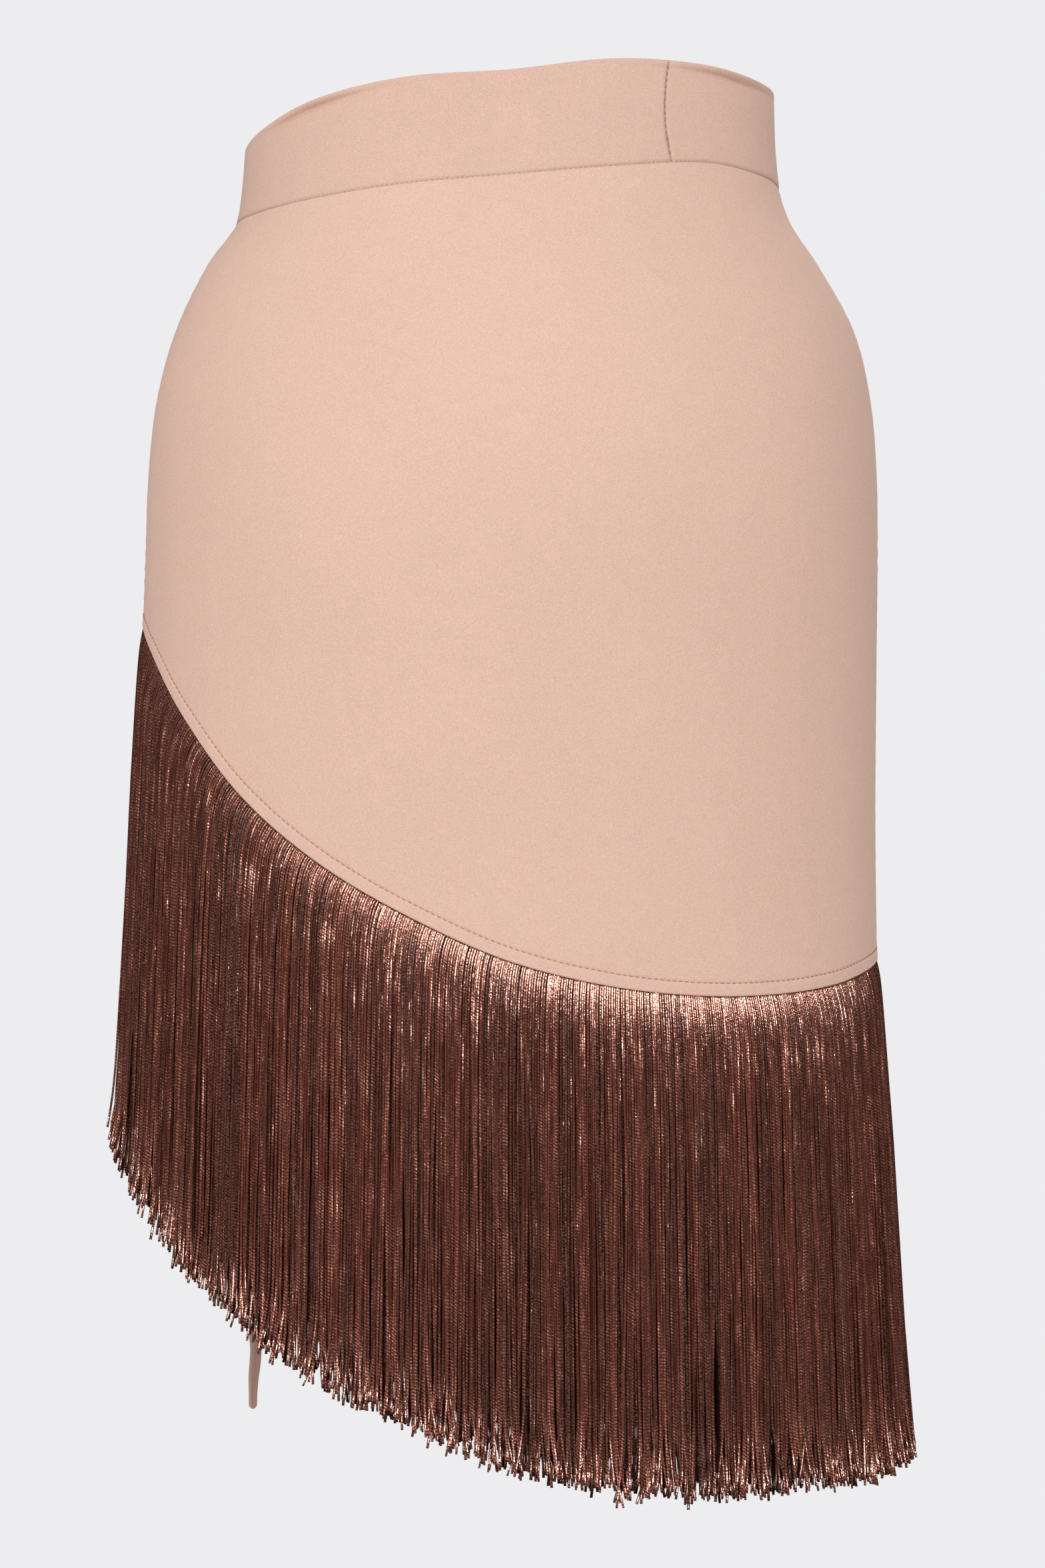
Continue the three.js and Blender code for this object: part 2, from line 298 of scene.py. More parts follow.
class Nodes:
    """A node tree, with a short way to add linked nodes and to set its shader."""

    def __init__(self, tree, shader="Principled BSDF"):
        self.tree = tree
        self.shader = tree.nodes[shader]

    def add(self, kind, inputs=None, **settings):
        node = self.tree.nodes.new("ShaderNode" + kind)
        for key, value in settings.items():
            setattr(node, key, value)
        for key, value in (inputs or {}).items():
            self.put(node.inputs[key], value)
        return node

    def put(self, socket, value):
        if isinstance(value, bpy.types.NodeSocket):
            self.tree.links.new(value, socket)
        else:
            socket.default_value = value

    def set(self, **values):
        """Sets the shader's sockets, named with _ for a space."""
        for key, value in values.items():
            self.put(self.shader.inputs[key.replace("_", " ")], value)

    def math(self, operation, a, b=0.0, c=0.0):
        return self.add("Math", {0: a, 1: b, 2: c}, operation=operation).outputs[0]

    def total(self, first, *rest):
        for value in rest:
            first = self.math("ADD", first, value)
        return first

    def product(self, first, *rest):
        for value in rest:
            first = self.math("MULTIPLY", first, value)
        return first

    def span(self, value, low, high, to_low=0.0, to_high=1.0):
        """Maps low to high onto to_low to to_high, and holds the value outside them."""
        values = {"Value": value, 1: low, 2: high, 3: to_low, 4: to_high}
        return self.add("MapRange", values).outputs[0]

    def vary(self, noise, amount, middle=0.0):
        """A value that a noise moves up and down about its middle."""
        return self.span(noise, 0.3, 0.7, middle - amount, middle + amount)

    def noise(self, vector, scale, detail=2.0, roughness=0.5):
        values = {"Vector": vector, "Scale": scale, "Detail": detail, "Roughness": roughness}
        return self.add("TexNoise", values).outputs["Fac"]

    def place_mm(self):
        """The place on the object, in millimetres."""
        return self.scaled(self.add("TexCoord").outputs["Object"], (1000, 1000, 1000))

    def moved(self, vector, by):
        return self.add("VectorMath", {0: vector, 1: by}, operation="ADD").outputs[0]

    def scaled(self, vector, factors):
        return self.add("VectorMath", {0: vector, 1: factors}, operation="MULTIPLY").outputs[0]

    def shaded(self, colour, factor):
        return self.add("VectorMath", {0: colour, "Scale": factor}, operation="SCALE").outputs[0]

    def vector(self, x=0.0, y=0.0, z=0.0):
        return self.add("CombineXYZ", {0: x, 1: y, 2: z}).outputs[0]

    def mix(self, factor, a, b):
        """A colour between two, each one a socket or its red, green and blue."""
        a, b = (c if isinstance(c, bpy.types.NodeSocket) else (*c, 1) for c in (a, b))
        return self.add("Mix", {"Factor": factor, 6: a, 7: b}, data_type="RGBA").outputs[2]

    def ramp(self, fac, stops):
        node = self.add("ValToRGB", {"Fac": fac})
        ramp = node.color_ramp
        while len(ramp.elements) < len(stops):
            ramp.elements.new(0.5)
        for element, (place, colour) in zip(ramp.elements, stops):
            element.position = place
            element.color = (*colour, 1)
        return node.outputs["Color"]

    def relief(self, height, depth_mm, strength):
        return self.add("Bump", {"Strength": strength, "Distance": depth_mm * MM, "Height": height}).outputs[0]


def new_material(name):
    material = bpy.data.materials.new(name)
    material.use_nodes = True
    return material, Nodes(material.node_tree)


def srgb(red, green, blue):
    """A colour given as it shows on a screen, 0 to 255, in linear light."""
    shown = np.array([red, green, blue]) / 255
    linear = np.where(shown <= 0.04045, shown / 12.92, ((shown + 0.055) / 1.055) ** 2.4)
    return tuple(float(v) for v in linear)


# Materials


# How fine each noise of the knit is, in waves for each millimetre, and how much it changes the shade.
FLECK_SCALE, FLECK_SHADE = 1.3, 0.11
MOTTLE_SCALE, MOTTLE_SHADE = 0.16, 0.013
CLOUD_SCALE, CLOUD_SHADE = 0.012, 0.015
HUE_SCALE = 0.25
WARM, COOL = (1.0, 1.006, 0.98), (1.0, 0.99, 1.012)  # what the hue's noise does to the colour
WALE = 0.55  # width of a wale
COURSES = 0.8  # loops up the cloth for each loop across it, in the same length


def knit_material(name, colour):
    """Matte, tight stretch knit: fine wales and courses, a faint fleck in its colour and a soft sheen."""
    material, m = new_material(name)
    place = m.place_mm()
    fleck = m.noise(place, FLECK_SCALE, 3.0, 0.65)
    mottle = m.noise(place, MOTTLE_SCALE, 2.0, 0.6)
    cloud = m.noise(place, CLOUD_SCALE)
    tone = m.total(m.vary(fleck, FLECK_SHADE, 1.0), m.vary(cloud, CLOUD_SHADE), m.vary(mottle, MOTTLE_SHADE))
    hue = m.noise(m.moved(place, (31.0, 7.0, 13.0)), HUE_SCALE, 1.0)
    warm, cool = (tuple(c * w for c, w in zip(colour, change)) for change in (WARM, COOL))
    tinted = m.mix(m.span(hue, 0.35, 0.65), warm, cool)
    loops = m.noise(m.scaled(place, (1 / WALE, 1 / WALE, COURSES / WALE)), 1.0, 1.0)
    height = m.total(m.product(loops, 0.6), m.product(fleck, 0.6))
    m.set(Base_Color=m.shaded(tinted, tone), Roughness=0.9, Normal=m.relief(height, 0.12, 0.35))
    m.set(Sheen_Weight=0.05, Sheen_Roughness=0.5, Specular_IOR_Level=0.12)
    return material


TWIST = 1.5  # length of one turn of the plies in a fringe strand
FACET = 1.1  # length of a strand that glints as one
SEED_TURN, SEED_PLACE, SEED_FACET = 400.0, 900.0, 571.0  # times its tone, each strand's own start
# Yarn colours from the dullest tone to the brightest, in linear light; the dullest serve as painted shade in
# the deeper layers.
YARN = [
    (0.0, (0.005, 0.0008, 0.0004)),
    (0.3, (0.020, 0.0034, 0.0017)),
    (0.65, (0.060, 0.0114, 0.0058)),
    (1.0, (0.130, 0.029, 0.017)),
]
PAINTED_GLINT_COLOUR = (0.78, 0.33, 0.235)  # painted highlight: the pale colour of beads where a ply faces out
METAL_DEEP, METAL_PALE = (0.36, 0.110, 0.070), (0.84, 0.52, 0.42)
PACKED = (5.0, 22.0, 0.042, 0.0)  # more metal shows from one length down a strand to the other
SCUFFED = (6.0, 24.0, 0.27, 0.21)  # roughness from one length to the other
TIPS_PAINTED_GLINT_AND_TILT = (190.0, 232.0, 0.0, 0.2)  # painted highlight and tilt: towards the tips more beads are painted pale, and more facets tilt


def fringe_material(name):
    """Twisted rayon and metallic yarn: dark rose-brown plies, with metallic flecks and painted highlights of
    pale beads winding round each strand.
    """
    material, m = new_material(name)
    length, round_x, round_y = m.add(
        "SeparateXYZ", {0: m.add("Attribute", attribute_name="strand").outputs["Vector"]}
    ).outputs
    tone = m.add("Attribute", attribute_name="tone").outputs["Fac"]

    # The place round the strand, turning with its plies.
    turn = m.math("MULTIPLY_ADD", length, 2 * math.pi / TWIST, m.product(tone, SEED_TURN))
    sine, cosine = m.math("SINE", turn), m.math("COSINE", turn)
    ply_x = m.math("MULTIPLY_ADD", round_x, cosine, m.product(round_y, sine))
    ply_y = m.math("MULTIPLY_ADD", round_x, m.product(sine, -1.0), m.product(round_y, cosine))

    seed = m.product(tone, SEED_PLACE)
    lay = m.vector(m.math("MULTIPLY_ADD", length, 1.1, seed), ply_x, ply_y)
    flecks = m.add("TexNoise", {"Vector": lay, "Scale": 1.5, "Detail": 1.0})
    fleck = flecks.outputs["Fac"]
    parts = m.add("SeparateColor", {0: flecks.outputs["Color"]}).outputs

    # Yarn, from dull strands to bright ones, with painted highlights: pale beads where a ply faces out.
    where = m.vector(length, seed)
    slow = m.noise(where, 0.04)
    base = m.ramp(m.math("MULTIPLY_ADD", m.math("SUBTRACT", slow, 0.5), 0.5, tone), YARN)
    # Runs along a strand where beads are painted pale as highlights and facets tilt up, more of them towards
    # the tips.
    runs = m.total(m.noise(m.scaled(where, (1, 1.7, 1)), 0.05), m.span(length, *TIPS_PAINTED_GLINT_AND_TILT))
    bead = m.product(m.span(ply_x, 0.0, 0.55), m.span(parts[2], 0.35, 0.5))
    painted_glint = m.product(bead, m.span(runs, 0.43, 0.6, 0.1, 1.0), m.span(tone, 0.3, 0.85))
    yarn = m.mix(painted_glint, base, PAINTED_GLINT_COLOUR)

    # Metallic flecks, and more of them where the strands are packed under the hem.
    packed = m.total(fleck, m.span(length, *PACKED))
    laid = m.math("MULTIPLY_ADD", ply_x, 0.05, packed)
    wound = m.product(m.span(laid, 0.51, 0.58), m.span(tone, 0.1, 0.5))
    metal = m.mix(m.span(fleck, 0.5, 0.68), METAL_DEEP, METAL_PALE)

    # Facets that lie a little higher or lower, so that each one glints on its own.
    facet = m.math("FLOOR", m.math("MULTIPLY_ADD", length, 1 / FACET, m.product(tone, SEED_FACET)))
    chance = m.add("TexWhiteNoise", {"Vector": m.vector(facet, tone)}).outputs["Value"]
    tilt = m.total(
        m.span(parts[1], 0.3, 0.7, -0.1, 0.13),
        m.span(runs, 0.52, 0.74, 0.0, 0.23),
        m.span(chance, 0.85, 1.0, 0.0, 0.1),
    )
    tilted = m.moved(m.add("NewGeometry").outputs["Normal"], m.vector(z=tilt))
    normal = m.add("VectorMath", {0: tilted}, operation="NORMALIZE").outputs[0]

    m.set(Base_Color=m.mix(wound, yarn, metal), Metallic=wound, Normal=normal)
    m.set(Roughness=m.span(length, *SCUFFED), IOR=1.5)
    m.set(Specular_IOR_Level=0.5, Specular_Tint=(1.0, 0.75, 0.68, 1.0))
    return material


def thread_material(name, colour):
    """Sewing thread, with the twist of its plies."""
    material, m = new_material(name)
    plies = m.noise(m.place_mm(), 3.0, 1.0)
    shade = m.shaded(colour, m.vary(plies, 0.2, 1.0))
    m.set(Base_Color=shade, Roughness=0.6, Normal=m.relief(plies, 0.1, 0.5))
    return material


CLOTH = knit_material("stretch_knit", (0.655, 0.434, 0.343))
BAND_CLOTH = knit_material("band_knit", (0.622, 0.41, 0.326))
# Painted shade: the tie's knit is a darker copy of the cloth's, for the shade the tie hangs in behind the
# fringe.
TIE_CLOTH_PAINTED_SHADE = knit_material("tie_knit_painted_shade", (0.56, 0.35, 0.28))
FRINGE = fringe_material("chainette_fringe")
TAPE = thread_material("header_tape", srgb(96, 52, 42))
# Topstitch thread, darker than the cloth; at the waistband's join its dark dashes also stand for the shade in
# the stitch holes, as painted shade.
DARK_THREAD_AND_HOLE_SHADE = thread_material("topstitch_thread", srgb(174, 112, 92))
PALE_THREAD = thread_material("seam_thread", srgb(232, 198, 181))


# Camera


def add_camera():
    """A camera at the photograph's viewing angle: behind the skirt and level with its middle."""
    data = bpy.data.cameras.new("camera")
    data.sensor_width = 36
    data.lens = 114.8
    camera = bpy.data.objects.new("camera", data)
    camera.location = (0.00624, -2.4, -0.299)
    camera.rotation_euler = (math.pi / 2, 0, 0)
    bpy.context.scene.collection.objects.link(camera)
    bpy.context.scene.camera = camera


add_camera()


# Tie


# The tie's middle line, from the waist seam over the hip and down outside the fringe.
TIE_ROUTE = np.array([
    (-91.8, 73.6, -37.5),
    (-95.2, 74.6, -43.3),
    (-98.7, 75.5, -50.7),
    (-102.7, 76.6, -62.2),
    (-106.6, 77.5, -75.2),
    (-110.4, 78.4, -90.4),
    (-113.7, 79.2, -108.5),
    (-116.3, 79.8, -130.5),
    (-117.8, 80.2, -155),
    (-118.7, 80.3, -185),
    (-119.7, 80.4, -220),
    (-120.1, 80.6, -255),
    (-120.4, 81.2, -285),
    (-121.2, 83, -310),
    (-122.4, 85.4, -335),
    (-123.4, 87.2, -365),
    (-124.4, 89.2, -405),
    (-125.4, 91, -450),
    (-126.4, 92.8, -495),
    (-127.3, 94.6, -540),
    (-127.6, 95.4, -568),
    (-126.9, 95.6, -582),
    (-128.1, 95.9, -597),
    (-128.4, 96, -611),
])
TIE_WIDTH = 6.0
TIE_THICK = 2.6
TIE_FACING = 29.5  # how far its flat face is turned from +Y towards -X, seen from above
TIE_SIDES = 20
TIE_ROUND_END = 2.6  # length of its round end
TIE_TAPER = 30  # length over which it narrows to its end
TIE_CREASE = 0.7  # share of its thickness lost at the crease


def smooth_route(points, steps, end_part=0.3, end_steps=16):
    """Points along a smooth curve through those given, closer together in the last part of a span."""
    last = len(points) - 1
    near_end = last - end_part
    t = np.concatenate([
        np.linspace(0, near_end, steps, endpoint=False),
        np.linspace(near_end, last, end_steps),
    ])
    rows = {"place": np.arange(len(points), dtype=float), **{str(k): points[:, k] for k in range(3)}}
    return np.stack([along(rows, "place", str(k), t) for k in range(3)], axis=-1)


def tie_ring(from_start, from_end):
    """The tie's section at each station: how far each of its points lies across it and out from it."""
    near_end = 1 - np.clip(from_end / TIE_ROUND_END, 0.002, 1)
    close = np.sqrt(np.clip(1 - near_end ** 2, 0.0, 1))
    waver = 0.05 * np.sin(from_start / 9.0) + 0.03 * np.sin(from_start / 3.7 + 1.0)
    wide_share = 1.12 - 0.42 * (1 - ease(from_end, 0, TIE_TAPER)) + waver
    angles = np.arange(TIE_SIDES) / TIE_SIDES * 2 * math.pi
    wide = np.sign(np.cos(angles)) * np.abs(np.cos(angles)) ** 0.7 * (TIE_WIDTH / 2)
    wide = wide[None] * (close * wide_share)[:, None]
    deep = np.sin(angles)[None] * (TIE_THICK / 2 - 0.1) * close[:, None]
    deep *= 1 - TIE_CREASE * bump(wide - 0.5, 0.9)
    return wide[..., None], deep[..., None]


def add_tie():
    """A sewn tube pressed flat, with a crease down its face and a closed round end."""
    route = smooth_route(TIE_ROUTE, 250)
    run = unit(np.gradient(route, axis=0))
    facing = math.radians(TIE_FACING)
    out = np.array([-math.sin(facing), math.cos(facing), 0.0])
    across = unit(np.cross(run, out))
    out = unit(np.cross(across, run))
    from_start = lengths_along(route)
    wide, deep = tie_ring(from_start, from_start[-1] - from_start)
    ring = route[:, None] + across[:, None] * wide + out[:, None] * deep
    stations, around = ring.shape[:2]
    points = np.concatenate([ring.reshape(-1, 3), route[:1], route[-1:]])
    k = np.arange(around)
    start_point = stations * around
    end_point = start_point + 1
    last = (stations - 1) * around
    root = np.stack([(k + 1) % around, k, np.full(around, start_point)], axis=-1)
    tip = np.stack([last + k, last + (k + 1) % around, np.full(around, end_point)], axis=-1)
    faces = [grid_faces(stations, around, wrap=True), root, tip]
    # The tie is drawn in that darker knit, as painted shade.
    tie = make_mesh("tie_cloth", points, faces, TIE_CLOTH_PAINTED_SHADE)
    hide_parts("tie")


add_tie()


# Panels


SIDE_GAP = 0.1  # degrees between a panel's edge and the side seam
SEAM_GAP = 0.06  # from the waist seam to the cloth above and below it
WALL = 1.2
HEM_WALL = 2.4
HEM_FOLD = 6.2  # from the hem's edge to its row of stitches
HEM_RISE = 0.32  # how far the turned-up hem stands out
STITCH_SINK = 0.38  # how far its stitches pull it in
EDGE_ROLL = 0.9  # radius of the hem's edge
# Rows of points over the fold and the edge of the hem, above its stitches.
HEM_ROWS = np.array([
    1.2, 0.8, 0.45, 0.15, -0.15, -0.5, -1.0, -2.0, -3.0, -4.0, -4.8, -5.3, -5.6, -5.85, -6.05, -6.2,
])
HEM_ROWS_TOP = 1.6  # where the plain rows end, above the stitches
INNER_RISE = 0.3  # most that the inside follows the outside's relief
PUCKER_PITCH = 6.6
PUCKER_REACH = 5.0  # how far from a side seam the puckers fade
SEAM_RADIUS_SHARE = 0.97  # of the depth to the back, for lengths round the cloth near a side seam


def side_seam_distance(turn, z):
    """Distance round the cloth to the nearer side seam."""
    nearest = np.round(turn / 180) * 180
    return np.radians(np.abs(turn - nearest)) * along(SECTIONS, "z", "back", z) * SEAM_RADIUS_SHARE


def puckers(turn, z):
    """Small gathers where the side seams pull the knit in, larger beside the fullest part."""
    distance = side_seam_distance(turn, z)
    wave = np.sin(z * 2 * math.pi / PUCKER_PITCH + 1.2 * np.sin(z / 23.0))
    strength = 0.16 + 0.5 * bump(z + 196, 16) + 0.15 * bump(z + 60, 20)
    return strength * wave * np.exp(-distance / PUCKER_REACH) - 0.5 * bump(distance, 0.8)


def tuck_depth(turn):
    """How far the waist seam pulls in, most towards the sides."""
    return 0.11 + 0.3 * np.abs(np.cos(np.radians(turn))) ** 1.5


def panel_relief(turn, z):
    """How far the cloth's face stands out from its plain form."""
    above_hem = (z - hem(turn)) / hem_stretch(turn)
    below_seam = waist_seam(turn) - z
    fold = HEM_RISE * (1 - ease(above_hem, HEM_FOLD - 0.4, HEM_FOLD + 0.5))
    stitched = -STITCH_SINK * bump(above_hem - HEM_FOLD, 0.55)
    rolled = np.clip(EDGE_ROLL - above_hem, 0, EDGE_ROLL)
    edge = np.sqrt(np.maximum(EDGE_ROLL ** 2 - rolled ** 2, 0)) - EDGE_ROLL
    tuck = -tuck_depth(turn) * np.exp(-below_seam / 1.3)
    return fold + stitched + edge + tuck + puckers(turn, z)


def panel(name, start, end, node):
    """A wall of cloth from the waist seam to the hem, doubled where the hem is turned up."""
    turns = even_turns(start + SIDE_GAP, end - SIDE_GAP, 180, PANEL_LEVEL)
    shares = np.unique(np.concatenate([np.linspace(0, 1, 96), np.linspace(0, 0.02, 10)]))
    edge, stretch = hem(turns)[:, None], hem_stretch(turns)[:, None]
    top = (waist_seam(turns) - SEAM_GAP)[:, None]
    fold_top = edge + (HEM_FOLD + HEM_ROWS_TOP) * stretch
    upper = top + (fold_top - top) * shares[None]
    lower = edge + (HEM_FOLD + HEM_ROWS)[None] * stretch
    z = np.concatenate([upper, lower], axis=1)
    turn = np.broadcast_to(turns[:, None], z.shape)
    above_hem = (z - hem(turn)) / hem_stretch(turn)
    relief = panel_relief(turn, z)
    thick = WALL + (HEM_WALL - WALL) * (1 - ease(above_hem, HEM_FOLD - 0.2, HEM_FOLD + 0.8))
    inner_relief = np.minimum(relief, INNER_RISE) - thick
    inner_relief -= np.where(above_hem < EDGE_ROLL, np.minimum(relief - HEM_RISE, 0), 0)
    piece = shell(name, offset(turn, z, relief), offset(turn, z, inner_relief), CLOTH)
    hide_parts(node)
    return piece


# Waistband


BAND_GAP = 0.04  # degrees between the ends of a length and its join
BAND_WALL = 2.1
CROWN = 1.05  # height of the round top edge
BAND_STATIONS = 1.2  # for each degree
JOIN_TURN = 126.0
JOIN_BOW = 1.1  # degrees that the join bows sideways at the middle of its height
JOIN_RADIUS, SIDE_RADIUS = 105, 88  # of the band at its join and at its sides
# Where the rim rolls outwards: the turn at the middle, how far round it reaches, and its share.
RIM_ROLLS = [(43, 16, 1.0), (147, 18, 1.0), (240, 30, 0.6), (325, 25, 0.6)]


def join_bow(share):
    """Degrees that the join bows sideways, at a share of the way down it."""
    return -JOIN_BOW * 4 * share * (1 - share)


def band_swell(share):
    """How far the doubled band swells out, at a share of the way down it."""
    return 0.55 * np.sin(math.pi * share) ** 0.8


def rim_flare(from_top):
    """The rolled rim: its lip, the crease below it and the soft hollow under both."""
    return 1.3 * bump(from_top, 2.4) - 1.8 * bump(from_top - 3.7, 1.1) - 0.7 * bump(from_top - 6.5, 3.5)


def band_relief(turns, turn, down, z, top, seam):
    """How far the band's face stands out from its plain form."""
    rolled = sum(share * bump(turns - middle, reach) for middle, reach, share in RIM_ROLLS)
    relief = 0.35 + band_swell(down) + rolled[:, None] * rim_flare(top - z)
    relief = relief - tuck_depth(turn) * np.exp(-(z - seam) / 1.0)
    past_join = np.radians(turns - JOIN_TURN)[:, None] * JOIN_RADIUS
    step = np.where(past_join < 0, 0.05, -0.05) * np.exp(-np.abs(past_join) / 6)
    relief = relief - 0.12 * bump(past_join, 0.8) + step
    from_side = np.radians(np.minimum(np.abs(turn), np.abs(360 - turn))) * SIDE_RADIUS
    return relief - 0.4 * bump(from_side, 0.8)


def band(name, start, end, node):
    """One length of the doubled strip, with a round fold along its top."""
    steps = int((end - start) * BAND_STATIONS)
    turns = np.linspace(start + BAND_GAP, end - BAND_GAP, steps)
    down = np.unique(np.concatenate([np.linspace(0, 0.2, 20), np.linspace(0.2, 1, 25)]))[None]
    top, seam = top_edge(turns)[:, None], (waist_seam(turns) + SEAM_GAP)[:, None]
    z = top - CROWN - (top - seam - CROWN) * down
    near_join = np.exp(-np.abs(turns - JOIN_TURN) / 12)[:, None]
    turn = turns[:, None] + join_bow(down) * near_join
    relief = band_relief(turns, turn, down, z, top, seam)
    outer = offset(turn, z, relief)
    inner = offset(turn, z, np.minimum(relief, 0.4) - BAND_WALL)
    arc = np.linspace(0, math.pi, 9)[1:-1][None, :, None]
    middle = (outer[:, :1] + inner[:, :1]) / 2
    reach = (outer[:, :1] - inner[:, :1]) / 2
    crown = middle - reach * np.cos(arc) + np.array([0.0, 0.0, CROWN]) * np.sin(arc)
    profile = np.concatenate([outer, inner[:, ::-1], crown], axis=1)
    stations, around = profile.shape[:2]
    cap = np.arange(around)[None]
    faces = [grid_faces(stations, around, wrap=True), cap[:, ::-1], cap + (stations - 1) * around]
    piece = make_mesh(name, profile.reshape(-1, 3), faces, BAND_CLOTH)
    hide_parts(node)
    return piece


# Stitches


# Length, pitch and radius of a stitch.
HEM_STITCH = (2.2, 3.0, 0.24)
SEAM_STITCH = (1.7, 2.4, 0.16)
JOIN_STITCH = (1.9, 3.1, 0.22)
SEWN_FROM = 0.6  # degrees between a side seam and the first stitch


def stitches(name, route, normals, stitch, material):
    """A row of short sunk stitches along a line of points."""
    length, pitch, radius = stitch
    run = lengths_along(route)
    starts = (np.arange(int(run[-1] / pitch)) + 0.5) * pitch
    place = np.linspace(-0.5, 0.5, 6)
    s = starts[:, None] + place[None] * length
    centres = np.stack([np.interp(s, run, route[:, k]) for k in range(3)], axis=-1)
    out = unit(np.stack([np.interp(s, run, normals[:, k]) for k in range(3)], axis=-1))
    across = unit(np.cross(unit(np.gradient(centres, axis=1)), out))
    swell = np.sqrt(np.clip(1 - (2 * place) ** 4, 0.05, 1))
    centres = centres + out * (0.12 * swell - 0.1)[None, :, None]
    width = np.broadcast_to(radius * swell, s.shape)
    return tubes(name, centres, across, out, width, width * 0.8, 6, material)


def hem_stitches(name, start, end):
    turns = np.linspace(start + SEWN_FROM, end - SEWN_FROM, 500)
    z = hem(turns) + HEM_FOLD * hem_stretch(turns)
    return stitches(name, offset(turns, z, -0.02), outward(turns, z), HEM_STITCH, DARK_THREAD_AND_HOLE_SHADE)


def seam_thread(name, start, end):
    turns = np.linspace(start + SEWN_FROM, end - SEWN_FROM, 400)
    z = waist_seam(turns) - 0.1
    return stitches(name, offset(turns, z, 0.0), outward(turns, z), SEAM_STITCH, PALE_THREAD)


# The join is sewn with dark dashes alone, which paint the shade of the stitch holes as well as the thread.
def join_stitches():
    share = np.linspace(0.04, 0.97, 60)
    turn = JOIN_TURN + join_bow(share)
    top = top_edge(turn)
    z = top - (top - waist_seam(turn)) * share
    line = offset(turn, z, 0.4 + band_swell(share))
    return stitches("join_stitches", line, outward(turn, z), JOIN_STITCH, DARK_THREAD_AND_HOLE_SHADE)


# Fringe


DOWN = np.array([0.0, 0.0, -1.0])
TAPE_FACE = -2.4  # the header tape's face, behind the plain form
TAPE_THICK = 1.3
TAPE_ROWS = np.array([5.0, 3.5, 2.0, 0.5, -1.0, -2.5])
FRINGE_GAP = 0.12  # degrees between the outermost strands and the side seam
ROOT = 0.3  # from the hem's edge down to where the strands show
TUCKED = 1.2  # length of a strand behind the hem's edge
BEND = 9.0  # length over which a strand turns from square to the hem to straight down
STRAND_WIDTH = 1.25
INNER_WIDTH = 1.5
FLICK = 34.0  # length of the tips that turn out
LOCK_WIDTHS = (3, 9)
SHORTEST = 6  # most that a few strands lack in length
STRAY_SHARE, STRAY_OUT = 0.02, (1.5, 4.5)  # of the strands, and how far they stand out at their tips
TIPS_OUT = (-1.6, 4.0)  # how far the tips turn in or out
OUTER_RINGS = np.array([
    0, 2, 4, 6.5, 9.5, 13, 18, 25, 35, 50, 70, 92, 115, 138, 160, 180, 196, 208, 217, 225, 232, 238,
]) / 238
INNER_RINGS = np.array([0, 4, 9, 16, 28, 50, 80, 115, 150, 180, 203, 219, 230, 238]) / 238
# For each layer: depth back from the front, pitch, looseness, and its dullest and brightest tones. The layers
# 1.8 and 2.7 back keep to the dullest tones, as painted shade between the strands.
OUTER_LAYERS = [(0.0, 1.08, 0.35, 0.34, 1.0), (0.8, 1.2, 0.3, 0.2, 0.9)]
INNER_LAYERS = [(1.8, 1.2, 0.3, 0.0, 0.35), (2.7, 1.2, 0.3, 0.0, 0.15), (3.6, 1.2, 0.3, 0.25, 0.9)]


def header(name, start, end):
    """The woven tape behind the hem that holds the strands."""
    turns = even_turns(start + SIDE_GAP, end - SIDE_GAP, 160, PANEL_LEVEL)
    z = hem(turns)[:, None] + TAPE_ROWS[None] * hem_stretch(turns)[:, None]
    turn = np.broadcast_to(turns[:, None], z.shape)
    outer = offset(turn, z, np.full(z.shape, TAPE_FACE))
    inner = offset(turn, z, np.full(z.shape, TAPE_FACE - TAPE_THICK))
    return shell(name, outer, inner, TAPE)


